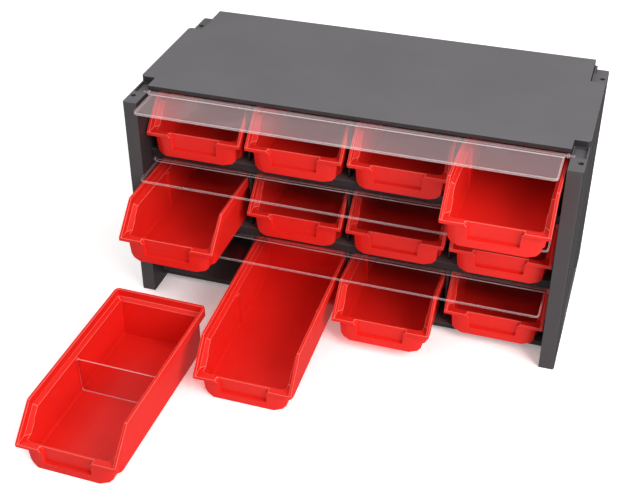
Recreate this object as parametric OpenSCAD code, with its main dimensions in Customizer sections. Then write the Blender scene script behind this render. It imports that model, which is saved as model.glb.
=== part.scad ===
// Parts bin cabinet: a stackable plastic cabinet of open-front bins under clear hinged flaps.
// The datum is the front lower corner of the left side panel: X runs to the right,
// Y runs to the back and Z runs up. Some bins are drawn pulled out, and one stands on the floor.

/* [Cabinet] */
// Bins side by side in one row
columns = 4; // [4:1:6]
// Height from one bin seat to the next
row_pitch = 85; // [80:1:110]
// Height of the lowest bin seat above the floor
base_seat_z = 14; // [13:0.5:20]
// Thickness of a side panel at its posts
side_t = 17; // [16:0.5:24]
// Height of a side panel's head above the upper flap's axis
side_head = 0.5; // [0:0.25:4]
// Height of the top panel above the side panels
top_rise = 7.5; // [6:0.5:12]
// Depth of a front or rear post, seen from the side
post_d = 48; // [42:1:60]
// Depth of the shallow field between the posts on the outside
side_field = 2.5; // [1:0.5:4]
// Radius of the posts' outer edges
post_edge_r = 2.5; // [1:0.5:4]

/* [Panels] */
// Thickness of the shelves and of the bottom panel
shelf_t = 3; // [2.5:0.5:4]
// Height of the rail along a shelf's front edge
rail_h = 10; // [8:0.5:12]
// Thickness of that rail
rail_t = 3; // [2:0.5:4]
// Height of the bottom panel's front rail
base_rail_h = 6; // [5:0.5:8]
// Distance of the rails behind the posts' front faces
rail_setback = 27; // [26:0.5:34]
// Thickness of the plates between the bins
divider_t = 2.5; // [2:0.5:4]
// Distance of those plates behind the posts' front faces
divider_setback = 35; // [34:1:60]
// Thickness of the top panel's skin
top_skin = 3; // [2.5:0.5:4]
// Thickness of the top panel's turned-down edge
top_edge_t = 2.5; // [2:0.5:4]
// Height of the top panel's front edge
top_lip_h = 5.5; // [4.5:0.5:6]
// Distance of the top panel's front edge behind the posts' front faces
top_setback = 31; // [30.5:0.5:36]
// Bevel on the top panel's outer corners
top_corner = 3; // [1:0.5:6]
// Thickness of the back panel
back_t = 3; // [2:0.5:4]
// Distance of the back panel's plate behind the posts
back_overhang = 7; // [3:0.5:12]
// Length of the back panel's edges along the rear posts
back_lap = 12; // [8:1:30]
// Depth of the grooves that hold shelves and dividers
groove = 2; // [1.5:0.25:2.5]
// Play of a panel in its groove
panel_play = 0.1; // [0.05:0.05:0.25]

/* [Stacking holes] */
// Radius of the dowel holes in the tops of the posts
dowel_r = 2.75; // [2:0.25:4]
// Extra radius of the holes in the feet, which slip over the dowels
foot_hole_play = 0.25; // [0.1:0.05:0.5]
// Depth of those holes
dowel_l = 12; // [8:1:20]
// Distance of the holes from the panel's outer face
dowel_x = 5.5; // [5:0.5:9]
// Distance of the front holes behind the posts' front faces
dowel_front = 17.5; // [12:0.5:20]
// Distance of the rear holes in front of the posts' rear faces
dowel_rear = 24; // [12:0.5:30]

/* [Flaps] */
// Distance of a flap's axis below the rail above it
flap_axis_drop = 4.5; // [3.5:0.25:6]
// Distance of the flap axes behind the posts' front faces
flap_axis_y = 29.5; // [29:0.25:31]
// Reach of a flap in front of its axis
flap_reach = 50; // [40:1:60]
// Thickness of the clear sheet
flap_t = 1.6; // [1.2:0.2:2]
// Depth of the sheet's turned-down edge below its top
flap_edge_h = 3; // [2.5:0.25:3.5]
// Thickness of that edge
flap_edge_t = 1.4; // [1:0.2:2]
// Radius of the hinge bar along the sheet
flap_bar_r = 2; // [1.8:0.1:2.2]
// Radius of the discs at the bar's ends
flap_disc_r = 2.6; // [2.4:0.1:2.6]
// Thickness of those discs
flap_disc_t = 2; // [1.5:0.5:3]
// Radius of the hinge pins
pin_r = 1.5; // [1.2:0.1:1.7]
// Length of a hinge pin inside its post
pin_l = 4.5; // [4:0.5:9]
// Running clearance round a hinge pin
pin_play = 0.08; // [0.05:0.01:0.1]
// Gap between a flap's ends and the posts
flap_end_gap = 1; // [0.5:0.25:2]
// Distance of the sheet's ends behind the bar's ends
flap_sheet_in = 4.5; // [3.5:0.5:8]
// Radius of the sheet's front corners
flap_corner_r = 4.5; // [3:0.5:10]

/* [Bins] */
// Width of a bin at its rim
bin_w = 111; // [100:1:125]
// Length of a bin
bin_l = 229.5; // [200:0.5:260]
// Height of a bin
bin_h = 60.5; // [56:0.5:63]
// Thickness of a bin's walls and floor
wall = 2; // [1.5:0.25:2.5]
// Distance that the rim stands out from the walls
rim_out = 5.5; // [4:0.5:7]
// Thickness of the rim's upright band
rim_t = 3; // [2:0.25:3.5]
// Height of the rim's upright band
rim_band = 10.5; // [8:0.5:12]
// Height of the front wall
front_h = 28.5; // [27:0.5:34]
// Length of the sloping part of the rim, seen from above
slope_run = 33; // [30:1:45]
// Height of the rim's edge at the very front
tip_edge = 4; // [3.5:0.5:5]
// Narrowing of the walls from the rim to the floor, on each side
draft = 1; // [0.5:0.25:2]
// Radius of the rim's rear corners
rim_corner_r = 5.5; // [4.5:0.5:9]
// Distance of the step between nose and walls behind the front edge
nose_l = 17; // [14:1:28]
// Length of that step
step_l = 9; // [6:1:12]
// Step from the side walls in to the nose's floor, on each side
nose_step = 7; // [5:0.5:9]
// Bevel along the nose's foot
nose_bevel = 3.5; // [2.5:0.5:5]
// Half of the front face's width at its foot
facet_x = 34.5; // [32:0.5:38]
// Angle of the corner facets to the front face
facet_a = 30; // [20:1:45]
// Outward lean of those facets
facet_lean = 8; // [0:1:12]
// Distance of the front face behind the front edge
front_inset = 2.2; // [1:0.2:3]
// Depth of the card recess in the front face
card_depth = 3.5; // [2:0.5:4]
// Width of the card recess
card_w = 54; // [40:1:60]
// Widening of the recess on each side where it opens through the front edge
card_funnel = 3; // [0:0.5:4]
// Height of the bar below the card recess
card_sill = 9.5; // [6:0.5:12]
// Gap between a bin's rim and the plates beside it
bin_gap = 1.8; // [1:0.1:3]
// Gap below a bin on its seat
rest_gap = 0.3; // [0.2:0.05:0.5]
// Gap behind a home bin
back_gap = 0.5; // [0.3:0.1:3]
// Gap between a home bin's front edge and the posts' front faces
bin_inset = 14; // [10:0.5:14]

/* [Clear insert] */
// Thickness of the clear insert
insert_t = 1.5; // [1:0.25:2.5]
// Height of the clear insert
insert_h = 44; // [30:1:46]
// Distance of the insert behind the bin's front edge
insert_y = 118; // [80:1:150]
// Width and height of the ribs that guide an insert
guide = 1.1; // [0.8:0.1:1.5]
// Play between an insert and the bin
insert_play = 0.35; // [0.3:0.05:0.5]

/* [Pulled-out bins] */
// Distance that the top row's last bin is drawn out
pull_top = 75; // [0:1:90]
// Distance that the middle row's first bin is drawn out
pull_middle = 90; // [0:1:90]
// Distance that the bottom row's third bin is drawn out
pull_bottom = 52; // [0:1:90]
// Length of the tipped bin in front of the shelf edge that it lies on
tipped_reach = 184; // [170:1:195]
// Distance of the loose bin's centre from the cabinet's left side
loose_x = 62.5; // [56:0.5:64]
// Distance of the loose bin's front edge in front of the cabinet
loose_y = 310; // [310:1:400]
// Turn of the loose bin to the right, seen from above
loose_turn = 0.8; // [0:0.1:1.5]

/* [Hidden] */

$fn = 48;
rows = 3;
cell_w = bin_w + 2 * bin_gap;
column_pitch = cell_w + divider_t;
inner_w = columns * column_pitch - divider_t;
cab_w = inner_w + 2 * side_t;
top_seat_z = base_seat_z + (rows - 1) * row_pitch;
flap_axis_up = row_pitch - rail_h - flap_axis_drop;
side_h = top_seat_z + flap_axis_up + side_head;
cab_h = side_h + top_rise;
back_y = bin_inset + bin_l + back_gap;
back_outer_y = back_y + back_t;
side_d = back_y - back_overhang;
eps = 0.01;
far = 400;

// Angle of the sloping rim, and the drop of the rim's section along it
slope_a = atan2(bin_h - front_h, slope_run);
tip_z = front_h - tip_edge;
rim_drop = rim_band + rim_out;
wall_half = bin_w / 2 - rim_out;
ledge_band = rim_band - 1.5;
ledge_drop = ledge_band + 3;
card_half = card_w / 2;
front_wall_y = front_inset + card_depth;
front_inner_y = front_wall_y + wall;
nose_foot = wall_half - nose_step;
nose_half = wall_half - draft;
rear_wall_y = bin_l - rim_out;

// Tilt of the tipped bin, which lies on the bottom panel's front edge and on the floor
tilt_a = asin(base_seat_z / tipped_reach);

cabinet_grey = [0.34, 0.33, 0.34];
bin_red = [0.87, 0.11, 0.09];
clear_plastic = [0.85, 0.85, 0.87, 0.4];

// Row 0 is the top row and column 0 the left one
function seat_z(row) = base_seat_z + (rows - 1 - row) * row_pitch;
function column_x(column) = side_t + cell_w / 2 + column * column_pitch;
function divider_x(gap) = side_t + (gap + 1) * column_pitch - divider_t / 2;

// ---- Side panels ----

// A post's outline from above, with its outer edges rounded
module post_plan(y0) {
    r = post_edge_r;
    translate([r, y0]) square([side_t - r, post_d]);
    translate([0, y0 + r]) square([side_t, post_d - 2 * r]);
    translate([r, y0 + r]) circle(r);
    translate([r, y0 + post_d - r]) circle(r);
}

// Dowel holes at one end of a panel's posts
module dowel_holes(z, r, h) {
    for (y = [dowel_front, side_d - dowel_rear])
        translate([dowel_x, y, z]) cylinder(r = r, h = h);
}

// Grooves across the inner face for the shelves and the bottom panel
module shelf_grooves() {
    for (row = [0 : rows - 1])
        translate([side_t - groove, rail_setback - panel_play, seat_z(row) - shelf_t - panel_play])
            cube([groove + eps, side_d - rail_setback + far, shelf_t + 2 * panel_play]);
}

// Bores for the flaps' pins; the upper flap's bore opens into the slot in the post's top
module pin_bores() {
    for (row = [0 : rows - 1])
        translate([side_t - pin_l - 0.5, flap_axis_y, seat_z(row) + flap_axis_up])
            rotate([0, 90, 0]) cylinder(r = pin_r + pin_play, h = pin_l + 1);
}

// Slot, and the shallow pocket behind it, in the top of the front post
module post_head_cuts() {
    slot_w = 4;
    slot_depth = 9;
    rim = 2;
    pocket_depth = 3;
    slot_y = flap_axis_y - pin_r - pin_play;
    translate([rim, slot_y, side_h - slot_depth])
        cube([side_t - 2 * rim, slot_w, slot_depth + 1]);
    translate([rim, slot_y + slot_w - eps, side_h - pocket_depth])
        cube([side_t - 2 * rim, post_d + 3 - slot_y - slot_w, pocket_depth + 1]);
}

module side_panel() {
    head_band = 8;
    foot_band = 10;
    color(cabinet_grey) difference() {
        union() {
            linear_extrude(side_h) post_plan(0);
            linear_extrude(side_h) post_plan(side_d - post_d);
            translate([side_field, post_d - post_edge_r, 0])
                cube([side_t - side_field, side_d - 2 * post_d + 2 * post_edge_r, side_h]);
            // Head of the panel, which carries the top panel's side edge
            translate([0, post_d - post_edge_r, side_h - head_band])
                cube([side_t, side_d - 2 * post_d + 2 * post_edge_r, head_band]);
            // Foot of the panel
            translate([0, post_d - post_edge_r, 0])
                cube([side_t, side_d - 2 * post_d + 2 * post_edge_r, foot_band]);
        }
        dowel_holes(side_h - dowel_l, dowel_r, dowel_l + 1);
        dowel_holes(-1, dowel_r + foot_hole_play, dowel_l + 1);
        shelf_grooves();
        pin_bores();
        post_head_cuts();
        // Rebate for the back panel's edge
        translate([side_t - back_t, side_d - back_lap - panel_play, -1])
            cube([back_t + 1, far, side_h + 2]);
    }
}

module side_panel_left() {
    side_panel();
}

module side_panel_right() {
    translate([cab_w, 0, 0]) mirror([1, 0, 0]) side_panel();
}

// ---- Top panel ----

// Outline from above: it reaches the cabinet's sides only between the posts
module top_plan(inset) {
    y_front = top_setback + inset;
    y_back = back_outer_y - inset;
    y0 = post_d + 3 + inset;
    y1 = side_d - post_d - inset;
    x0 = side_t + inset;
    c = top_corner;
    polygon([
        [x0, y_front], [cab_w - x0, y_front], [cab_w - x0, y0],
        [cab_w - inset - c, y0], [cab_w - inset, y0 + c],
        [cab_w - inset, y1 - c], [cab_w - inset - c, y1],
        [cab_w - x0, y1], [cab_w - x0, y_back], [x0, y_back], [x0, y1],
        [inset + c, y1], [inset, y1 - c], [inset, y0 + c], [inset + c, y0], [x0, y0]
    ]);
}

module top_panel() {
    rib_t = 2;
    color([0.43, 0.42, 0.43]) difference() {
        translate([0, 0, side_h]) linear_extrude(top_rise) top_plan(0);
        // Hollow below the skin, with ribs left from front to back
        difference() {
            translate([0, 0, side_h - 1]) linear_extrude(top_rise - top_skin + 1) top_plan(top_edge_t);
            for (gap = [-1 : columns - 1], half = [0, 1])
                translate([divider_x(gap) - rib_t / 2 + half * column_pitch / 2, 0, side_h - 2])
                    cube([rib_t, far, top_rise]);
        }
        // The front edge stops short of the bins below it
        translate([side_t, 0, side_h - 1])
            cube([cab_w - 2 * side_t, far, 1 + top_rise - top_lip_h]);
        // The dividers' heads and the back panel's upper edge lie below the skin
        for (gap = [0 : columns - 2])
            translate([divider_x(gap) - divider_t / 2 - panel_play, divider_setback - 2, side_h - 1])
                cube([divider_t + 2 * panel_play, far, 1 + top_rise - top_skin]);
        translate([side_t - eps, back_y - panel_play, side_h - 1])
            cube([cab_w - 2 * side_t + 2 * eps, far, 1 + top_rise - top_skin]);
    }
}

// ---- Shelves, bottom panel, dividers and back panel ----

// Grooves along a plate for the feet or heads of the dividers
module divider_grooves(z) {
    for (gap = [0 : columns - 2])
        translate([divider_x(gap) - divider_t / 2 - panel_play, divider_setback - panel_play, z])
            cube([divider_t + 2 * panel_play, far, 1 + eps]);
}

// A plate between the side panels with a rail along its front, and tongues in the side grooves
module shelf(z, rail, stiffeners) {
    tongue_end_y = side_d - back_lap - 2 * panel_play;
    color([0.27, 0.26, 0.27]) difference() {
        union() {
            translate([side_t + panel_play, rail_setback, z - shelf_t])
                cube([inner_w - 2 * panel_play, back_y - rail_setback - panel_play, shelf_t]);
            translate([side_t - groove + panel_play, rail_setback, z - shelf_t])
                cube([inner_w + 2 * (groove - panel_play), tongue_end_y - rail_setback, shelf_t]);
            translate([side_t + panel_play, rail_setback, z - rail])
                cube([inner_w - 2 * panel_play, rail_t, rail]);
            if (stiffeners)
                for (gap = [-1 : columns - 1])
                    translate([divider_x(gap) + column_pitch / 2 - 1, rail_setback, z - rail + 4])
                        if (gap < columns - 1) cube([2, back_y - rail_setback - panel_play, rail - 4]);
        }
        divider_grooves(z - 1);
        if (stiffeners) divider_grooves(z - shelf_t - eps);
    }
}

module shelf_upper() {
    shelf(seat_z(0), rail_h, true);
}

module shelf_lower() {
    shelf(seat_z(1), rail_h, true);
}

module bottom_panel() {
    shelf(seat_z(2), base_rail_h, false);
}

// A plate between two bins, held in the grooves above and below it
module divider(row, gap) {
    seat = seat_z(row);
    head_z = row == 0 ? cab_h - top_skin : seat_z(row - 1) - shelf_t + 1;
    foot_z = seat - 1 + panel_play;
    nose = 12;
    color([0.3, 0.29, 0.3]) translate([divider_x(gap) - divider_t / 2, 0, 0])
        rotate([90, 0, 90]) linear_extrude(divider_t) polygon([
            [divider_setback, foot_z], [back_y - panel_play, foot_z],
            [back_y - panel_play, head_z - panel_play], [divider_setback + nose, head_z - panel_play],
            [divider_setback, head_z - panel_play - nose]
        ]);
}

module divider_r1_a() { divider(0, 0); }
module divider_r1_b() { divider(0, 1); }
module divider_r1_c() { divider(0, 2); }
module divider_r2_a() { divider(1, 0); }
module divider_r2_b() { divider(1, 1); }
module divider_r2_c() { divider(1, 2); }
module divider_r3_a() { divider(2, 0); }
module divider_r3_b() { divider(2, 1); }
module divider_r3_c() { divider(2, 2); }

// Back panel: a plate whose edges turn forward along the rear posts
module back_panel() {
    x0 = side_t - back_t + panel_play;
    w = inner_w + 2 * (back_t - panel_play);
    z0 = base_seat_z - base_rail_h;
    edge_y = side_d - back_lap;
    h = cab_h - top_skin - panel_play - z0;
    color([0.33, 0.32, 0.33]) difference() {
        union() {
            translate([x0, back_y, z0]) cube([w, back_t, h]);
            for (x = [x0, x0 + w - back_t + panel_play])
                translate([x, edge_y, z0])
                    cube([back_t - panel_play, back_outer_y - edge_y, side_h - z0]);
        }
        // Above the side panels the plate is as wide as the top panel's tail
        for (x = [x0 - 1, cab_w - side_t])
            translate([x, 0, side_h])
                cube([back_t + 1 - panel_play, far, far]);
    }
}

// ---- Flaps ----

// Clear flap along the X axis, in its open place: the sheet reaches forward from the hinge bar
module flap(row) {
    bar_l = inner_w - 2 * flap_end_gap;
    sheet_l = bar_l - 2 * flap_sheet_in;
    r = flap_corner_r;
    e = flap_edge_t;
    top = 1;
    color(clear_plastic) translate([cab_w / 2, flap_axis_y, seat_z(row) + flap_axis_up]) {
        difference() {
            translate([0, 0, top - flap_edge_h]) linear_extrude(flap_edge_h) flap_plan(sheet_l, r, 0);
            translate([0, 0, top - flap_edge_h - 1])
                linear_extrude(flap_edge_h - flap_t + 1) flap_plan(sheet_l, r, e);
        }
        rotate([0, 90, 0]) cylinder(r = flap_bar_r, h = bar_l, center = true);
        for (side = [-1, 1])
            translate([side * (bar_l - flap_disc_t) / 2, 0, 0]) rotate([0, 90, 0])
                cylinder(r = flap_disc_r, h = flap_disc_t, center = true);
        rotate([0, 90, 0]) cylinder(r = pin_r, h = inner_w + 2 * pin_l - 1, center = true);
        // Second bar that stiffens the sheet near its hinge
        translate([-sheet_l / 2, -6.5, top - eps]) cube([sheet_l, 1.2, 0.7]);
    }
}

// The sheet's outline from above, drawn in by an inset
module flap_plan(length, r, inset) {
    hw = length / 2 - inset;
    front = -flap_reach + inset;
    ri = r - inset;
    translate([-hw, front + ri]) square([2 * hw, -front - ri - (inset > 0 ? flap_bar_r : 0)]);
    translate([-hw + ri, front]) square([2 * (hw - ri), ri + eps]);
    for (side = [-1, 1])
        translate([side * (hw - ri), front + ri]) circle(ri);
}

module flap_upper() { flap(0); }
module flap_middle() { flap(1); }
module flap_lower() { flap(2); }

// ---- Bins ----
// A bin is drawn with its front edge at y = 0, its floor at z = 0 and its middle at x = 0

// Extrudes a Y-Z outline across the bin
module across(half) {
    rotate([90, 0, 90]) translate([0, 0, -half]) linear_extrude(2 * half) children();
}

// Sweeps a rim section along the level and the sloping run of the rim, which meet at the bend
module along_rim() {
    translate([0, slope_run, bin_h])
        for (angle = [0, slope_a])
            rotate([angle, 0, 0]) translate([0, far, 0]) rotate([90, 0, 0])
                linear_extrude(2 * far) children();
}

// Plan of the rim, with rounded rear corners
module rim_plan(inset) {
    hw = bin_w / 2 - inset;
    r = rim_corner_r - inset;
    y1 = bin_l - inset;
    translate([-hw, -far]) square([2 * hw, far + y1 - r]);
    translate([-hw + r, 0]) square([2 * (hw - r), y1]);
    for (side = [-1, 1])
        translate([side * (hw - r), y1 - r]) circle(r);
}

// Plan of the walls behind the nose, with rounded rear corners and a sloping step at the front
module body_plan(inset) {
    hw = wall_half - inset;
    r = rim_corner_r - inset;
    y1 = rear_wall_y - inset;
    step_y = nose_l + inset;
    step_half = nose_foot - 1 - inset;
    polygon([
        [-step_half, step_y], [step_half, step_y], [hw, step_y + step_l],
        [hw, y1 - r], [-hw, y1 - r], [-hw, step_y + step_l]
    ]);
    translate([-hw + r, y1 - 2 * r]) square([2 * (hw - r), 2 * r]);
    for (side = [-1, 1])
        translate([side * (hw - r), y1 - r]) circle(r);
}

// The nose: narrower at its floor than the walls, with a bevelled foot and a facet on each corner
module nose(inset, floor_z, front_y, corner_x) {
    foot = nose_foot - inset * (sqrt(2) - 1);
    bevel = nose_bevel - inset * (2 - sqrt(2));
    top = nose_half - inset;
    length = nose_l + step_l + 8 - front_y;
    difference() {
        translate([0, front_y + length, 0]) rotate([90, 0, 0]) linear_extrude(length) polygon([
            [-foot, floor_z], [foot, floor_z], [foot + bevel, floor_z + bevel], [top, front_h],
            [top, bin_h], [-top, bin_h], [-top, front_h], [-foot - bevel, floor_z + bevel]
        ]);
        for (side = [0, 1])
            mirror([side, 0, 0]) translate([corner_x, front_y, 0])
                rotate([0, facet_lean, 0]) rotate([0, 0, facet_a])
                    translate([-far, -far, -far]) cube([2 * far, far, 2 * far]);
    }
}

// Section of the walls across the bin, narrower at the floor and bevelled along its foot
module wall_section(inset, floor_z) {
    top = wall_half - inset;
    foot = top - draft;
    bevel = 1.5;
    polygon([
        [-foot + bevel, floor_z], [foot - bevel, floor_z], [foot, floor_z + bevel],
        [top, bin_h - rim_drop], [top, far], [-top, far],
        [-top, bin_h - rim_drop], [-foot, floor_z + bevel]
    ]);
}

// Outline of the whole bin from the side
module side_outline() {
    polygon([
        [rear_wall_y - draft, 0], [rear_wall_y, bin_h - rim_drop],
        [bin_l, bin_h - rim_band], [bin_l, bin_h], [slope_run, bin_h], [0, front_h],
        [0, 0]
    ]);
}

module bin_outside() {
    intersection() {
        across(bin_w) side_outline();
        union() {
            intersection() {
                linear_extrude(bin_h) body_plan(0);
                translate([0, far, 0]) rotate([90, 0, 0]) linear_extrude(2 * far) wall_section(0, 0);
            }
            nose(0, 0, front_inset, facet_x);
            intersection() {
                along_rim() polygon([
                    [-bin_w / 2, far], [bin_w / 2, far], [bin_w / 2, -rim_band],
                    [wall_half, -rim_drop], [-wall_half, -rim_drop], [-bin_w / 2, -rim_band]
                ]);
                translate([0, 0, tip_z]) linear_extrude(bin_h) rim_plan(0);
            }
        }
    }
}

module bin_inside() {
    // Space between the walls
    intersection() {
        translate([0, 0, wall]) linear_extrude(bin_h) body_plan(wall);
        translate([0, far, 0]) rotate([90, 0, 0]) linear_extrude(2 * far) wall_section(wall, wall);
        across(bin_w) polygon([
            [0, wall], [rear_wall_y - draft - wall, wall],
            [rear_wall_y - wall, bin_h - rim_drop], [rear_wall_y - wall, far], [0, far]
        ]);
    }
    nose(wall, wall, front_inner_y, facet_x + 2 * wall);
    // Wider space inside the rim, above the ledge
    ledge_half = bin_w / 2 - rim_t;
    inner_half = wall_half - wall;
    intersection() {
        along_rim() polygon([
            [-ledge_half, far], [ledge_half, far], [ledge_half, -ledge_band],
            [inner_half, -ledge_drop], [-inner_half, -ledge_drop], [-ledge_half, -ledge_band]
        ]);
        linear_extrude(far) rim_plan(rim_t);
        across(bin_w) polygon([
            [-1, front_h], [-1, far], [far, far],
            [far, bin_h - ledge_band], [bin_l - rim_t, bin_h - ledge_band],
            [rear_wall_y - wall, bin_h - ledge_drop], [rear_wall_y - wall, front_h]
        ]);
    }
}

// Card recess in the front face, which widens where it opens through the front edge
module card_recess() {
    slant = 1;
    mouth = card_half + card_funnel;
    translate([0, front_wall_y, 0]) rotate([90, 0, 0]) linear_extrude(far) polygon([
        [-card_half + slant, card_sill], [card_half - slant, card_sill], [card_half, tip_z],
        [mouth, front_h], [mouth, front_h + 1], [-mouth, front_h + 1],
        [-mouth, front_h], [-card_half, tip_z]
    ]);
}

// Pairs of upright ribs on both walls that guide an insert
module insert_guides() {
    gap = insert_t + 2 * insert_play;
    inner_foot = wall_half - wall - draft;
    intersection() {
        for (side = [-1, 1], edge = [-gap / 2 - guide, gap / 2])
            translate([side * inner_foot - guide, insert_y + edge, wall - eps])
                cube([2 * guide, guide, insert_h]);
        translate([0, far, 0]) rotate([90, 0, 0]) linear_extrude(2 * far) wall_section(wall / 2, 0);
    }
}

module bin() {
    color(bin_red) {
        difference() {
            bin_outside();
            bin_inside();
            card_recess();
        }
        insert_guides();
    }
}

// A bin on its seat, drawn out by a distance
module seated_bin(row, column, pull) {
    translate([column_x(column), bin_inset - pull, seat_z(row) + rest_gap]) bin();
}

module bin_r1_c1() { seated_bin(0, 0, 0); }
module bin_r1_c2() { seated_bin(0, 1, 0); }
module bin_r1_c3() { seated_bin(0, 2, 0); }
module bin_r1_c4() { seated_bin(0, 3, pull_top); }
module bin_r2_c1() { seated_bin(1, 0, pull_middle); }
module bin_r2_c2() { seated_bin(1, 1, 0); }
module bin_r2_c3() { seated_bin(1, 2, 0); }
module bin_r2_c4() { seated_bin(1, 3, 0); }
module bin_r3_c3() { seated_bin(2, 2, pull_bottom); }
module bin_r3_c4() { seated_bin(2, 3, 0); }

// The tipped bin lies on the bottom panel's front edge and on the floor
module bin_r3_c2() {
    translate([column_x(1), rail_setback, seat_z(2) + rest_gap]) rotate([tilt_a, 0, 0])
        translate([0, -tipped_reach - front_inset, 0]) bin();
}

// The loose bin stands on the floor in front of the cabinet, out of the bottom row's first cell
module bin_loose() {
    translate([loose_x, -loose_y, 0]) rotate([0, 0, -loose_turn]) bin();
}

// Clear insert in the loose bin
module bin_insert() {
    foot = wall_half - wall - draft - insert_play;
    grow = draft * insert_h / (bin_h - rim_drop - wall);
    color(clear_plastic)
        translate([loose_x, -loose_y, 0]) rotate([0, 0, -loose_turn])
            translate([0, insert_y + insert_t / 2, wall + insert_play])
                rotate([90, 0, 0]) linear_extrude(insert_t) polygon([
                    [-foot + 2, 0], [foot - 2, 0], [foot, 2], [foot + grow - insert_play, insert_h],
                    [-foot - grow + insert_play, insert_h], [-foot, 2]
                ]);
}

side_panel_left();
side_panel_right();
top_panel();
bottom_panel();
shelf_upper();
shelf_lower();
back_panel();
divider_r1_a();
divider_r1_b();
divider_r1_c();
divider_r2_a();
divider_r2_b();
divider_r2_c();
divider_r3_a();
divider_r3_b();
divider_r3_c();
flap_upper();
flap_middle();
flap_lower();
bin_r1_c1();
bin_r1_c2();
bin_r1_c3();
bin_r1_c4();
bin_r2_c1();
bin_r2_c2();
bin_r2_c3();
bin_r2_c4();
bin_loose();
bin_r3_c2();
bin_r3_c3();
bin_r3_c4();
bin_insert();
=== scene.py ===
"""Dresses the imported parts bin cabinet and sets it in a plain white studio.

Every sub-assembly of the cabinet is a class with its sizes as fields, and every finish is a
frozen dataclass. Lengths are in metres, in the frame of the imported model: X runs to the right,
Y to the back and Z up, from the front lower corner of the left side panel.
"""

from __future__ import annotations

import logging
import math
from dataclasses import dataclass
from enum import Enum
from typing import Any, Iterable, Union

import bmesh
import bpy
from mathutils import Matrix, Vector
from mathutils.bvhtree import BVHTree


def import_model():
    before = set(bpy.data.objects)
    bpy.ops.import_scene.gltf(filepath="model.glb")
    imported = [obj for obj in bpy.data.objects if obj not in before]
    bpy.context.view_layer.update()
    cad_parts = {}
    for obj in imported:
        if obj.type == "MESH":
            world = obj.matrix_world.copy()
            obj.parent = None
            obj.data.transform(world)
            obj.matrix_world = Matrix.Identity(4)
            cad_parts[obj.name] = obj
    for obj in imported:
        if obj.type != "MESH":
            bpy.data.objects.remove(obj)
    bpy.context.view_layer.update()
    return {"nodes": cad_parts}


LOG = logging.getLogger("parts_bin_cabinet")
MM = 0.001
NOISE_ROUGHNESS = 0.55
SURROUND_COLOUR = (1.0, 0.99, 0.985, 1.0)
Colour = tuple[float, float, float]
Span = tuple[float, float]


# ---- Shader signals ----


class Signal:
    """A number that changes over a surface; Python operators on it add Math nodes."""

    def __init__(self, bench: "Bench", socket: bpy.types.NodeSocket) -> None:
        """Wraps a socket.

        Args:
            bench: The material's node bench.
            socket: The output socket that gives the number.
        """
        self.bench = bench
        self.socket = socket

    def _math(self, operation: str, *values: "Number") -> "Signal":
        """Adds one Math node.

        Args:
            operation: The Math node's operation.
            values: What goes into its sockets, in order.

        Returns:
            The node's result.
        """
        node = self.bench.node("ShaderNodeMath", {"operation": operation}, dict(enumerate(values)))
        return Signal(self.bench, node.outputs[0])

    def __add__(self, other: "Number") -> "Signal":
        """Gives the sum."""
        return self._math("ADD", self, other)

    def __radd__(self, other: "Number") -> "Signal":
        """Gives the sum, with the number first."""
        return self._math("ADD", other, self)

    def __sub__(self, other: "Number") -> "Signal":
        """Gives the difference."""
        return self._math("SUBTRACT", self, other)

    def __rsub__(self, other: "Number") -> "Signal":
        """Gives the difference, with the number first."""
        return self._math("SUBTRACT", other, self)

    def __mul__(self, other: "Number") -> "Signal":
        """Gives the product."""
        return self._math("MULTIPLY", self, other)

    def __rmul__(self, other: "Number") -> "Signal":
        """Gives the product, with the number first."""
        return self._math("MULTIPLY", other, self)

    def __pow__(self, other: "Number") -> "Signal":
        """Gives the power."""
        return self._math("POWER", self, other)

    def __abs__(self) -> "Signal":
        """Gives the size without its sign."""
        return self._math("ABSOLUTE", self)

    def between(self, low: float, high: float) -> "Signal":
        """Gives a smooth step.

        Args:
            low: The value at which the step is 0.
            high: The value at which the step is 1.

        Returns:
            The step, from 0 to 1.
        """
        node = self.bench.node(
            "ShaderNodeMapRange",
            {"interpolation_type": "SMOOTHSTEP"},
            {"Value": self, "From Min": low, "From Max": high},
        )
        return Signal(self.bench, node.outputs["Result"])


Number = Union[Signal, float]


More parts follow.
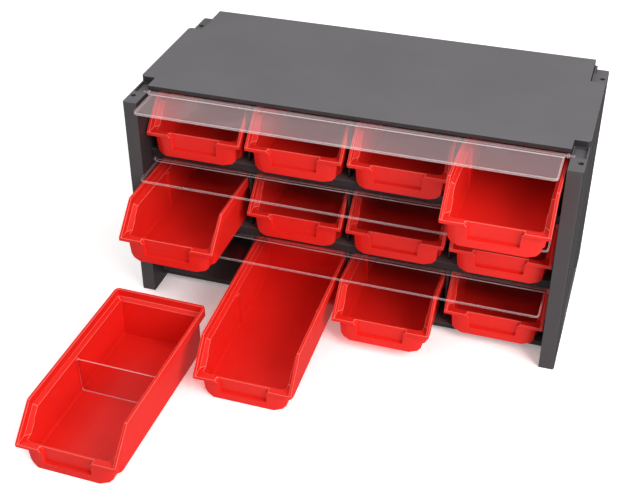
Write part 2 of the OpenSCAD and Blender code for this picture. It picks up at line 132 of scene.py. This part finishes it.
class Bench:
    """The node tree of one material or surround, with one method for every kind of node."""

    def __init__(self, owner: bpy.types.Material | bpy.types.World | bpy.types.NodeTree) -> None:
        """Clears the node tree of a new material, surround or geometry group.

        Args:
            owner: The material, the surround or the group.
        """
        self.owner = owner
        if isinstance(owner, bpy.types.NodeTree):
            self.tree = owner
        else:
            owner.use_nodes = True
            self.tree = owner.node_tree
        self.tree.nodes.clear()

    @classmethod
    def for_material(cls, name: str) -> "Bench":
        """Makes an empty material.

        Args:
            name: The material's name.

        Returns:
            Its bench.
        """
        return cls(bpy.data.materials.new(name))

    def node(
        self,
        kind: str,
        settings: dict[str, Any] | None = None,
        sockets: dict[str | int, Any] | None = None,
    ) -> bpy.types.Node:
        """Adds a node, sets it up and then fills its sockets.

        Args:
            kind: The node's type.
            settings: Its properties, such as a Math node's operation.
            sockets: A value, a socket or a signal for each input, by name or place.

        Returns:
            The node.
        """
        node = self.tree.nodes.new(kind)
        for key, value in (settings or {}).items():
            setattr(node, key, value)
        for key, value in (sockets or {}).items():
            if isinstance(value, Signal):
                value = value.socket
            if isinstance(value, bpy.types.NodeSocket):
                self.tree.links.new(value, node.inputs[key])
            else:
                node.inputs[key].default_value = value
        return node

    def place(self, stretch: Colour = (1.0, 1.0, 1.0)) -> bpy.types.NodeSocket:
        """Gives the point on the piece, in metres.

        Args:
            stretch: A factor for each axis, which draws a pattern out.

        Returns:
            The point.
        """
        point = self.node("ShaderNodeTexCoord").outputs["Object"]
        if stretch == (1.0, 1.0, 1.0):
            return point
        return self.node(
            "ShaderNodeVectorMath", {"operation": "MULTIPLY"}, {0: point, 1: stretch}
        ).outputs[0]

    def noise(self, point: bpy.types.NodeSocket, size: float, detail: float = 2.0) -> Signal:
        """Gives soft noise.

        Args:
            point: Where on the piece.
            size: The size of one blotch in metres.
            detail: How many finer layers it holds.

        Returns:
            The noise, about 0.5 on average.
        """
        node = self.node(
            "ShaderNodeTexNoise",
            {"noise_dimensions": "3D"},
            {
                "Vector": point,
                "Scale": 1.0 / size,
                "Detail": detail,
                "Roughness": NOISE_ROUGHNESS,
            },
        )
        return Signal(self, node.outputs["Fac"])

    def facing_edge(self) -> Signal:
        """Gives 0 where the surface faces the eye and 1 at its outline."""
        node = self.node("ShaderNodeLayerWeight", None, {"Blend": 0.5})
        return Signal(self, node.outputs["Facing"])

    def rest_normal(self, axis: int) -> Signal:
        """Gives one component of the piece's own normal.

        Args:
            axis: 0, 1 or 2 for X, Y or Z.

        Returns:
            That component, from -1 to 1.
        """
        normal = self.node("ShaderNodeTexCoord").outputs["Normal"]
        parts = self.node("ShaderNodeSeparateXYZ", None, {"Vector": normal})
        return Signal(self, parts.outputs[axis])

    def height_share(self) -> Signal:
        """Gives the height on the piece, from 0 at its lowest point to 1 at its highest."""
        point = self.node("ShaderNodeTexCoord").outputs["Generated"]
        parts = self.node("ShaderNodeSeparateXYZ", None, {"Vector": point})
        return Signal(self, parts.outputs[2])

    def blend(self, share: Number, first: Any, second: Any) -> bpy.types.NodeSocket:
        """Blends two colours.

        Args:
            share: How much of the second colour.
            first: A colour or its socket.
            second: A colour or its socket.

        Returns:
            The blended colour.
        """
        colours = {
            key: (*value, 1.0) if isinstance(value, tuple) else value
            for key, value in (("A", first), ("B", second))
        }
        node = self.tree.nodes.new("ShaderNodeMix")
        node.data_type = "RGBA"
        sockets = {"Factor": share, **colours}
        for name, value in sockets.items():
            kind = "VALUE" if name == "Factor" else "RGBA"
            target = next(s for s in node.inputs if s.name == name and s.type == kind)
            if isinstance(value, Signal):
                value = value.socket
            if isinstance(value, bpy.types.NodeSocket):
                self.tree.links.new(value, target)
            else:
                target.default_value = value
        return next(s for s in node.outputs if s.type == "RGBA")

    def bump(
        self, height: Signal, depth: float, strength: float, under: Any = None
    ) -> bpy.types.NodeSocket:
        """Gives the normal of a fine relief.

        Args:
            height: The relief, from 0 to 1.
            depth: Its depth in metres.
            strength: How much of it shows.
            under: The normal of a coarser relief below it.

        Returns:
            The normal.
        """
        sockets = {"Height": height, "Distance": depth, "Strength": strength}
        if under is not None:
            sockets["Normal"] = under
        return self.node("ShaderNodeBump", None, sockets).outputs["Normal"]

    def output(self, shader: bpy.types.Node) -> bpy.types.Material:
        """Links the surface and gives the material.

        Args:
            shader: The node whose first output is the surface.

        Returns:
            The finished material.
        """
        self.node("ShaderNodeOutputMaterial", None, {"Surface": shader.outputs[0]})
        return self.owner


# ---- Finishes ----


@dataclass(frozen=True)
class MouldedPlastic:
    """An opaque injection-moulded plastic with a fine grain and slight handling marks, painted
    shade, where set, on faces that look to the front or to a side, and a painted highlight on
    rounded edges that look up.
    """

    name: str
    colour: Colour
    # The front and side colours are painted shade: darker colours for faces that look to the front
    # or back and to a side; colour is for faces that look up.
    front: Colour
    side_shade: Colour
    scuffed: Colour
    # The colour of the rounded edges is a painted highlight where they look up.
    edge_highlight: Colour
    roughness: float
    shine: float
    grain_size: float
    grain_depth: float
    mottle: float
    wave_depth: float
    scuffs: float
    # Above 0, rounded edges below this share of the piece's height get no painted highlight.
    edge_from: float
    cloud_size: float = 0.09
    wave_size: float = 0.035
    patch_size: float = 0.05
    hair_size: float = 0.0022
    hair_stretch: Colour = (1.0, 0.05, 0.3)
    cloud_roughness: float = 0.12
    grain_roughness: float = 0.06
    scuff_roughness: float = 0.2
    edge_polish: float = 0.3
    edge_fade: float = 0.05
    cloud_span: Span = (0.3, 0.7)
    hair_span: Span = (0.66, 0.78)
    patch_span: Span = (0.5, 0.68)
    # How far a face turns to the front or a side before its painted shade is full.
    facing_shade_span: Span = (0.4, 0.9)
    upward_span: Span = (0.1, 0.45)
    refraction: float = 1.5

    def materials(self) -> list[bpy.types.Material]:
        """Makes the material of the faces and that of the polished edges, which get a painted
        highlight where they look up.

        Returns:
            The two materials.
        """
        return [
            self.surface(self.name, False),
            self.surface(self.name + "_edge", True),
        ]

    def surface(self, name: str, on_edges: bool) -> bpy.types.Material:
        """Makes one material.

        Args:
            name: The material's name.
            on_edges: Whether it is for the rounded edges, which are polished and get a painted
                highlight where they look up.

        Returns:
            The material.
        """
        bench = Bench.for_material(name)
        point = bench.place()
        cloud = bench.noise(point, self.cloud_size, 3.0)
        grain = bench.noise(point, self.grain_size, 1.0)
        wave = bench.noise(point, self.wave_size, 1.0)
        hair = bench.noise(bench.place(self.hair_stretch), self.hair_size)
        hair = hair.between(*self.hair_span)
        patch = bench.noise(point, self.patch_size).between(*self.patch_span)
        scuff = hair * patch * self.scuffs
        dark = tuple(c * (1.0 - self.mottle) for c in self.colour)
        light = tuple(min(1.0, c * (1.0 + self.mottle)) for c in self.colour)
        base = bench.blend(cloud.between(*self.cloud_span), dark, light)
        # Painted shade: faces that look to the front or back, then to a side, blend into darker
        # colours.
        if self.front != self.colour:
            for axis, colour in ((1, self.front), (0, self.side_shade)):
                facing_shade = abs(bench.rest_normal(axis)).between(*self.facing_shade_span)
                base = bench.blend(facing_shade, base, colour)
        base = bench.blend(scuff, base, self.scuffed)
        rough = self.roughness + (cloud - 0.5) * self.cloud_roughness
        rough = rough + (grain - 0.5) * self.grain_roughness + scuff * self.scuff_roughness
        if on_edges:
            # Painted highlight: rounded edges that look up blend into a lighter colour, only above
            # edge_from of the height where that is set.
            painted_highlight = bench.rest_normal(2).between(*self.upward_span)
            if self.edge_from > 0.0:
                top = self.edge_from + self.edge_fade
                painted_highlight = painted_highlight * bench.height_share().between(self.edge_from, top)
            base = bench.blend(painted_highlight, base, self.edge_highlight)
            rough = rough - painted_highlight * (self.roughness * self.edge_polish)
        relief = bench.bump(wave, self.wave_depth, 1.0)
        relief = bench.bump(grain, self.grain_depth, 1.0, relief)
        shader = bench.node(
            "ShaderNodeBsdfPrincipled",
            None,
            {
                "Base Color": base,
                "Roughness": rough,
                "Normal": relief,
                "IOR": self.refraction,
                "Specular IOR Level": self.shine,
            },
        )
        return bench.output(shader)


@dataclass(frozen=True)
class ClearPlastic:
    """A clear moulded sheet that mirrors its surroundings, with a painted glow along its cut
    edges; where the shine is not metallic, a pale film that thickens at grazing angles stands in
    for the mirroring as a painted reflection.
    """

    name: str
    broad_axis: int
    tint: Colour
    # The colour of the cut edges and of rounded edges that look up: a painted glow and painted
    # highlight.
    edge_highlight: Colour
    haze: float
    # The share of the shine that is not metallic. Where it is 1, the mirror share becomes a pale
    # film that thickens at grazing angles, a painted reflection, while the haze holds real smudges
    # and hairlines.
    milkiness_and_sheen: float
    mirror: float
    rim_cover: float
    edge_cover: float
    roughness: float
    smudge_size: float = 0.06
    hair_size: float = 0.0016
    hair_stretch: Colour = (0.06, 1.0, 1.0)
    even_haze: float = 0.6
    smudge_haze: float = 0.8
    hair_haze: float = 0.8
    even_mirror: float = 0.06
    wave_size: float = 0.03
    wave_depth: float = 0.0002
    smudge_roughness: float = 0.08
    smudge_span: Span = (0.45, 0.75)
    hair_span: Span = (0.64, 0.8)
    rim_span: Span = (0.1, 0.6)
    upward_span: Span = (0.15, 0.45)
    grazing_power: float = 4.0
    refraction: float = 1.49
    passed: Colour = (0.97, 0.96, 0.965)

    def materials(self) -> list[bpy.types.Material]:
        """Makes the material of the faces and that of the rounded edges, which get a painted
        highlight.

        Returns:
            The two materials.
        """
        return [
            self.surface(self.name, False),
            self.surface(self.name + "_edge", True),
        ]

    def surface(self, name: str, on_edges: bool) -> bpy.types.Material:
        """Makes one material.

        Args:
            name: The material's name.
            on_edges: Whether it is for the rounded edges, which get a painted highlight where they
                look up.

        Returns:
            The material.
        """
        bench = Bench.for_material(name)
        point = bench.place()
        smudge = bench.noise(point, self.smudge_size, 3.0).between(*self.smudge_span)
        hair = bench.noise(bench.place(self.hair_stretch), self.hair_size)
        hair = hair.between(*self.hair_span)
        # Painted glow: the cut edges, which do not face along broad_axis, turn more opaque and
        # take a bright colour.
        rim = (1.0 - abs(bench.rest_normal(self.broad_axis))).between(*self.rim_span)
        grazing = bench.facing_edge() ** self.grazing_power
        film = self.haze * (self.even_haze + smudge * self.smudge_haze)
        film = film + hair * (self.haze * self.hair_haze)
        cover = film + self.mirror * (self.even_mirror + grazing) + rim * self.rim_cover
        # Painted highlight: rounded edges that look up turn more opaque.
        if on_edges:
            upward = bench.rest_normal(2).between(*self.upward_span)
            cover = cover + upward * self.edge_cover
        body = bench.blend(rim, self.tint, self.edge_highlight)
        relief = bench.bump(bench.noise(point, self.wave_size, 1.0), self.wave_depth, 1.0)
        # Where the shine is not metallic, the mirror share is not a mirror but a pale film:
        # painted reflection.
        shine = bench.node(
            "ShaderNodeBsdfPrincipled",
            None,
            {
                "Base Color": (*self.edge_highlight, 1.0) if on_edges else body,
                "Roughness": self.roughness + smudge * self.smudge_roughness,
                "Normal": relief,
                "Metallic": 0.0 if on_edges else (1.0 - rim) * (1.0 - self.milkiness_and_sheen),
                "IOR": self.refraction,
            },
        )
        through = bench.node("ShaderNodeBsdfTransparent", None, {"Color": (*self.passed, 1.0)})
        surface = bench.node(
            "ShaderNodeMixShader",
            None,
            {0: cover, 1: through.outputs[0], 2: shine.outputs[0]},
        )
        return bench.output(surface)


@dataclass(frozen=True)
class StudioFloor:
    """The pale, faintly glossy floor, over-exposed where the eye sees it directly."""

    name: str
    colour: Colour
    glow: float
    exposed_colour: Colour
    exposed_glow: float
    roughness: float
    mirrored: float
    mirrored_colour: Colour = (1.0, 0.97, 0.96)
    cloud_size: float = 0.4
    cloud_roughness: float = 0.04
    refraction: float = 1.45

    def matt(self, bench: Bench, colour: Colour, glow: float) -> bpy.types.NodeSocket:
        """Makes the floor's lit surface.

        Args:
            bench: The material's bench.
            colour: How much light of each colour it gives back.
            glow: How much light it adds of its own.

        Returns:
            The surface.
        """
        soft = bench.noise(bench.place(), self.cloud_size)
        shader = bench.node(
            "ShaderNodeBsdfPrincipled",
            None,
            {
                "Base Color": (*colour, 1.0),
                "Roughness": self.roughness + (soft - 0.5) * self.cloud_roughness,
                "IOR": self.refraction,
                "Emission Color": SURROUND_COLOUR,
                "Emission Strength": glow,
            },
        )
        return shader.outputs[0]

    def material(self) -> bpy.types.Material:
        """Makes the material.

        Returns:
            The material.
        """
        bench = Bench.for_material(self.name)
        ways = bench.node("ShaderNodeLightPath").outputs
        dimmed = bench.node(
            "ShaderNodeEmission",
            None,
            {"Color": (*self.mirrored_colour, 1.0), "Strength": self.mirrored},
        )
        seen = self.matt(bench, self.colour, self.glow)
        exposed = self.matt(bench, self.exposed_colour, self.exposed_glow)
        for way, other in (("Is Glossy Ray", dimmed.outputs[0]), ("Is Camera Ray", exposed)):
            mixed = bench.node("ShaderNodeMixShader", None, {0: ways[way], 1: seen, 2: other})
            seen = mixed.outputs[0]
        return bench.output(mixed)


FLOOR = StudioFloor(
    name="pale_floor", colour=(0.75, 0.735, 0.735), glow=0.36,
    exposed_colour=(1.3, 1.28, 1.28), exposed_glow=0.2, roughness=0.4, mirrored=0.2,
)


class Finish(Enum):
    """The finishes on the cabinet's pieces."""

    # In the grey finishes, colour is for faces that look up and the front and side colours are
    # darker: painted shade. In every finish here the colour of rounded edges is a painted
    # highlight. INNER's up-facing colour is kept light to stand in for light in its shaded cells,
    # and TOP's front colour is the darkest: painted shade on the top panel's front face.
    SHELL = MouldedPlastic(
        name="dark_grey_shell", colour=(0.13, 0.125, 0.132), front=(0.072, 0.067, 0.071),
        side_shade=(0.030, 0.027, 0.029), scuffed=(0.12, 0.115, 0.12),
        edge_highlight=(0.075, 0.072, 0.076), roughness=0.42, shine=0.45, grain_size=0.0009,
        grain_depth=0.00004, mottle=0.06, wave_depth=0.00025, scuffs=0.5, edge_from=0.0,
    )
    TOP = MouldedPlastic(
        name="dark_grey_top", colour=(0.145, 0.138, 0.147), front=(0.035, 0.032, 0.034),
        side_shade=(0.030, 0.027, 0.029), scuffed=(0.17, 0.165, 0.17),
        edge_highlight=(0.14, 0.135, 0.142), roughness=0.46, shine=0.45, grain_size=0.0009,
        grain_depth=0.00004, mottle=0.04, wave_depth=0.0002, scuffs=0.7, edge_from=0.0,
    )
    INNER = MouldedPlastic(
        name="dark_grey_inner", colour=(0.10, 0.092, 0.096), front=(0.032, 0.029, 0.031),
        side_shade=(0.020, 0.018, 0.019), scuffed=(0.08, 0.075, 0.08),
        edge_highlight=(0.08, 0.074, 0.077), roughness=0.5, shine=0.3, grain_size=0.0009,
        grain_depth=0.00004, mottle=0.06, wave_depth=0.0002, scuffs=0.4, edge_from=0.0,
    )
    BIN = MouldedPlastic(
        name="red_bin", colour=(0.80, 0.018, 0.012), front=(0.80, 0.018, 0.012),
        side_shade=(0.80, 0.018, 0.012), scuffed=(0.88, 0.07, 0.05),
        edge_highlight=(1.0, 0.25, 0.19), roughness=0.34, shine=0.3, grain_size=0.0008,
        grain_depth=0.00002, mottle=0.04, wave_depth=0.0002, scuffs=0.5, edge_from=0.3,
    )
    # The upper flap's pale film is partly real haze and partly painted reflection; on every clear
    # piece the bright colour of the cut and rounded edges is a painted glow and painted highlight.
    UPPER_FLAP = ClearPlastic(
        name="clear_upper_flap", broad_axis=2, tint=(0.98, 0.78, 0.80), edge_highlight=(1.0, 0.86, 0.87),
        haze=0.085, milkiness_and_sheen=1.0, mirror=0.4, rim_cover=0.05, edge_cover=0.75, roughness=0.07,
    )
    FLAP = ClearPlastic(
        name="clear_flap", broad_axis=2, tint=(0.86, 0.84, 0.86), edge_highlight=(1.0, 0.84, 0.86),
        haze=0.008, milkiness_and_sheen=0.0, mirror=0.35, rim_cover=0.03, edge_cover=0.5, roughness=0.07,
    )
    INSERT = ClearPlastic(
        name="clear_insert", broad_axis=1, tint=(0.9, 0.88, 0.9), edge_highlight=(1.0, 0.8, 0.8),
        haze=0.006, milkiness_and_sheen=0.0, mirror=0.4, rim_cover=0.2, edge_cover=0.6, roughness=0.07,
    )


class Wardrobe:
    """Makes each finish's materials once and hands them out."""

    def __init__(self) -> None:
        """Starts with nothing made."""
        self.made: dict[Finish, list[bpy.types.Material]] = {}

    def materials(self, finish: Finish) -> list[bpy.types.Material]:
        """Gives a finish's materials.

        Args:
            finish: Which finish.

        Returns:
            The materials of its faces and of its edges.
        """
        if finish not in self.made:
            self.made[finish] = finish.value.materials()
        return self.made[finish]


# ---- Sub-assemblies ----


@dataclass(frozen=True)
class MeshCleaner:
    """A geometry group that joins split corners and drops needle faces, and keeps the shape."""

    join_distance: float
    speck_size: float = 1.0 * MM
    speck_depth: float = 1.0

    def group(self) -> bpy.types.NodeTree:
        """Makes the group.

        Returns:
            The geometry group, which takes a speck far below the floor away from the piece.
        """
        tree = bpy.data.node_groups.new("clean_mesh", "GeometryNodeTree")
        for way in ("INPUT", "OUTPUT"):
            tree.interface.new_socket("Geometry", in_out=way, socket_type="NodeSocketGeometry")
        bench = Bench(tree)
        piece = bench.node("NodeGroupInput").outputs[0]
        joined = bench.node(
            "GeometryNodeMergeByDistance",
            None,
            {"Geometry": piece, "Distance": self.join_distance},
        ).outputs[0]
        speck = bench.node("GeometryNodeMeshCube", None, {"Size": (self.speck_size,) * 3})
        below = bench.node(
            "GeometryNodeTransform",
            None,
            {"Geometry": speck.outputs[0], "Translation": (0.0, 0.0, -self.speck_depth)},
        ).outputs[0]
        clean = bench.node(
            "GeometryNodeMeshBoolean",
            {"operation": "DIFFERENCE", "solver": "MANIFOLD"},
            {"Mesh 1": joined, "Mesh 2": below},
        ).outputs["Mesh"]
        bench.node("NodeGroupOutput", None, {0: clean})
        return tree


@dataclass
class Dressed:
    """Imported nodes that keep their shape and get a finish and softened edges."""

    nodes: dict[str, bpy.types.Object]
    wardrobe: Wardrobe
    edge_radius: float
    join_distances: tuple[float, ...] = (0.02 * MM, 0.1 * MM, 0.3 * MM)
    radius_shares: tuple[float, ...] = (1.0, 0.7, 0.4)
    sharp_angle: float = 34.0
    flat_angle: float = 0.5
    edge_segments: int = 2
    face_weight: int = 60
    most_stray: float = 0.9 * MM

    def __post_init__(self) -> None:
        """Makes the groups that clean these pieces' meshes."""
        self.cleaners = [MeshCleaner(distance).group() for distance in self.join_distances]

    def stray(self, piece: bpy.types.Object) -> float:
        """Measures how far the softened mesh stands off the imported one.

        Args:
            piece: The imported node, with its modifiers.

        Returns:
            The greatest distance between them, or infinity where nothing is left of the piece.
        """
        points = [vertex.co for vertex in piece.data.vertices]
        packed = BVHTree.FromPolygons(points, [tuple(f.vertices) for f in piece.data.polygons])
        graph = bpy.context.evaluated_depsgraph_get()
        graph.update()
        softened = piece.evaluated_get(graph).to_mesh()
        return max((packed.find_nearest(v.co)[3] for v in softened.vertices), default=math.inf)

    def settle(self, piece: bpy.types.Object) -> None:
        """Finds the first cleaning and radius that keep every soft edge at its place.

        Args:
            piece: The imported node, with its modifiers.
        """
        bevel = piece.modifiers["soft_edges"]
        for share in self.radius_shares:
            bevel.width = self.edge_radius * share
            for cleaner in self.cleaners:
                piece.modifiers["clean_mesh"].node_group = cleaner
                if self.stray(piece) <= self.most_stray:
                    return
        bevel.use_clamp_overlap = True

    def soften(self, piece: bpy.types.Object) -> None:
        """Rounds the sharp edges of a piece, as a mould does.

        Args:
            piece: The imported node.
        """
        piece.modifiers.new("clean_mesh", "NODES")
        flat = piece.modifiers.new("clean_flats", "DECIMATE")
        flat.decimate_type = "DISSOLVE"
        flat.angle_limit = math.radians(self.flat_angle)
        bevel = piece.modifiers.new("soft_edges", "BEVEL")
        bevel.segments = self.edge_segments
        bevel.limit_method = "ANGLE"
        bevel.angle_limit = math.radians(self.sharp_angle)
        bevel.harden_normals = False
        bevel.use_clamp_overlap = False
        # The rounded edges get the second material, which holds the painted highlight.
        bevel.material = 1
        bevel.miter_outer = "MITER_ARC"
        normals = piece.modifiers.new("flat_faces", "WEIGHTED_NORMAL")
        normals.keep_sharp = False
        normals.weight = self.face_weight
        self.settle(piece)

    def dress(self, name: str, finish: Finish) -> None:
        """Gives a node its finish and soft edges.

        Args:
            name: The node's name.
            finish: Its finish.
        """
        piece = self.nodes[name]
        piece.data.materials.clear()
        for material in self.wardrobe.materials(finish):
            piece.data.materials.append(material)
        self.soften(piece)
        radius = piece.modifiers["soft_edges"].width / MM
        LOG.info("%s: %s, %.2f mm edges", name, finish.name.lower(), radius)


@dataclass
class SidePanels(Dressed):
    """The two side panels, where slots and pin bores meet in short edges."""

    edge_radius: float = 0.4 * MM
    join_distances: tuple[float, ...] = (0.35 * MM, 0.3 * MM, 0.4 * MM, 0.2 * MM)

    def build(self) -> None:
        """Dresses both side panels."""
        for side in ("left", "right"):
            self.dress(f"side_panel_{side}", Finish.SHELL)


@dataclass
class Panels(Dressed):
    """The top, bottom, shelves, back and upright plates."""

    edge_radius: float = 0.7 * MM

    def build(self) -> None:
        """Dresses every panel."""
        for name in self.nodes:
            if name == "back_panel":
                self.dress(name, Finish.SHELL)
            elif name == "top_panel":
                self.dress(name, Finish.TOP)
            elif name.startswith(("shelf", "bottom", "divider")):
                self.dress(name, Finish.INNER)


@dataclass
class Bins(Dressed):
    """The twelve open-front bins."""

    edge_radius: float = 0.3 * MM
    join_distances: tuple[float, ...] = (0.45 * MM, 0.4 * MM, 0.35 * MM, 0.5 * MM)

    def build(self) -> None:
        """Dresses every bin."""
        for name in self.nodes:
            if name.startswith("bin_") and name != "bin_insert":
                self.dress(name, Finish.BIN)


@dataclass
class ClearPieces(Dressed):
    """The three hinged flaps and the insert of the loose bin."""

    edge_radius: float = 0.2 * MM

    def build(self) -> None:
        """Dresses the clear pieces."""
        for name in self.nodes:
            if name == "flap_upper":
                self.dress(name, Finish.UPPER_FLAP)
            elif name.startswith("flap_"):
                self.dress(name, Finish.FLAP)
        self.dress("bin_insert", Finish.INSERT)


# ---- Studio ----


@dataclass(frozen=True)
class Softbox:
    """A square softbox."""

    name: str
    place: Colour
    size: float
    power: float
    mirrored: bool

    def hang(self, target: Colour) -> None:
        """Hangs it so that it looks at a point.

        Args:
            target: The point.
        """
        data = bpy.data.lights.new(self.name, "AREA")
        data.shape = "SQUARE"
        data.size = self.size
        data.energy = self.power
        light = bpy.data.objects.new(self.name, data)
        bpy.context.scene.collection.objects.link(light)
        light.location = self.place
        away = Vector(self.place) - Vector(target)
        light.rotation_mode = "QUATERNION"
        light.rotation_quaternion = away.to_track_quat("Z", "Y")
        light.visible_glossy = self.mirrored


@dataclass
class Studio:
    """The floor, the light and the camera."""

    floor_half: float = 6.0
    floor_segments: int = 8
    middle: Colour = (0.25, 0.0, 0.1)
    softboxes: tuple[Softbox, ...] = (
        Softbox("key_softbox", (1.83, -0.99, 1.27), 1.2, 38.0, False),
        Softbox("strip_softbox", (-0.9, 0.2, 1.4), 0.35, 3.0, True),
    )
    backdrop: float = 1.05
    sky_low: float = 0.2
    sky_high: float = 0.85
    mirror_low: float = 0.12
    mirror_high: float = 0.6
    eye: Colour = (0.5408, -0.9866, 0.8301)
    azimuth: float = -18.23
    elevation: float = 35.09
    roll: float = -0.31
    lens: float = 65.55
    sensor_width: float = 36.0

    def floor(self) -> bpy.types.Object:
        """Lays the floor.

        Returns:
            The floor.
        """
        mesh = bpy.data.meshes.new("floor")
        shape = bmesh.new()
        segments = self.floor_segments
        bmesh.ops.create_grid(
            shape, x_segments=segments, y_segments=segments, size=self.floor_half
        )
        shape.to_mesh(mesh)
        shape.free()
        floor = bpy.data.objects.new("floor", mesh)
        bpy.context.scene.collection.objects.link(floor)
        mesh.materials.append(FLOOR.material())
        return floor

    def surround(self) -> None:
        """Surrounds the studio with white, which gives light from above and mirrors dimmed."""
        world = bpy.data.worlds.new("white_surround")
        bench = Bench(world)
        ways = bench.node("ShaderNodeLightPath").outputs
        glossy = Signal(bench, ways["Is Glossy Ray"])
        diffuse = Signal(bench, ways["Is Diffuse Ray"])
        direction = bench.node("ShaderNodeTexCoord").outputs["Generated"]
        up = Signal(bench, bench.node("ShaderNodeSeparateXYZ", None, {0: direction}).outputs[2])
        height = up.between(0.0, 1.0)
        mirror = self.mirror_low + height * (self.mirror_high - self.mirror_low)
        sky = self.sky_low + height * (self.sky_high - self.sky_low)
        strength = self.backdrop * (1.0 - glossy - diffuse) + mirror * glossy + sky * diffuse
        shine = bench.node(
            "ShaderNodeBackground", None, {"Color": SURROUND_COLOUR, "Strength": strength}
        )
        bench.node("ShaderNodeOutputWorld", None, {"Surface": shine.outputs[0]})
        bpy.context.scene.world = world

    def light(self) -> None:
        """Lights the studio with a bright surround and softboxes."""
        self.surround()
        for softbox in self.softboxes:
            softbox.hang(self.middle)

    def camera(self) -> bpy.types.Object:
        """Sets up the camera where the photographer stood.

        Returns:
            The camera.
        """
        azimuth, elevation, roll = (
            math.radians(a) for a in (self.azimuth, self.elevation, self.roll)
        )
        ahead = Vector((
            math.sin(azimuth) * math.cos(elevation),
            math.cos(azimuth) * math.cos(elevation),
            -math.sin(elevation),
        ))
        level = ahead.cross(Vector((0.0, 0.0, 1.0))).normalized()
        upright = level.cross(ahead)
        right = math.cos(roll) * level + math.sin(roll) * upright
        up = math.cos(roll) * upright - math.sin(roll) * level
        data = bpy.data.cameras.new("camera")
        data.sensor_width = self.sensor_width
        data.lens = self.lens
        camera = bpy.data.objects.new("camera", data)
        bpy.context.scene.collection.objects.link(camera)
        turn = Matrix((right, up, -ahead)).transposed()
        camera.matrix_world = Matrix.Translation(self.eye) @ turn.to_4x4()
        bpy.context.scene.camera = camera
        return camera

    def build(self) -> None:
        """Builds the whole studio."""
        self.floor()
        self.light()
        self.camera()
        bpy.context.scene.view_settings.view_transform = "Standard"
        LOG.info("studio: floor, light and camera")


# ---- Assembly ----


def main() -> None:
    """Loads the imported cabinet, dresses it and builds the studio."""
    logging.basicConfig(level=logging.INFO, format="%(message)s")
    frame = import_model()
    wardrobe = Wardrobe()
    for assembly in (SidePanels, Panels, Bins, ClearPieces):
        assembly(frame["nodes"], wardrobe).build()
    Studio().build()
    bpy.context.view_layer.update()


if __name__ == "__main__":
    main()
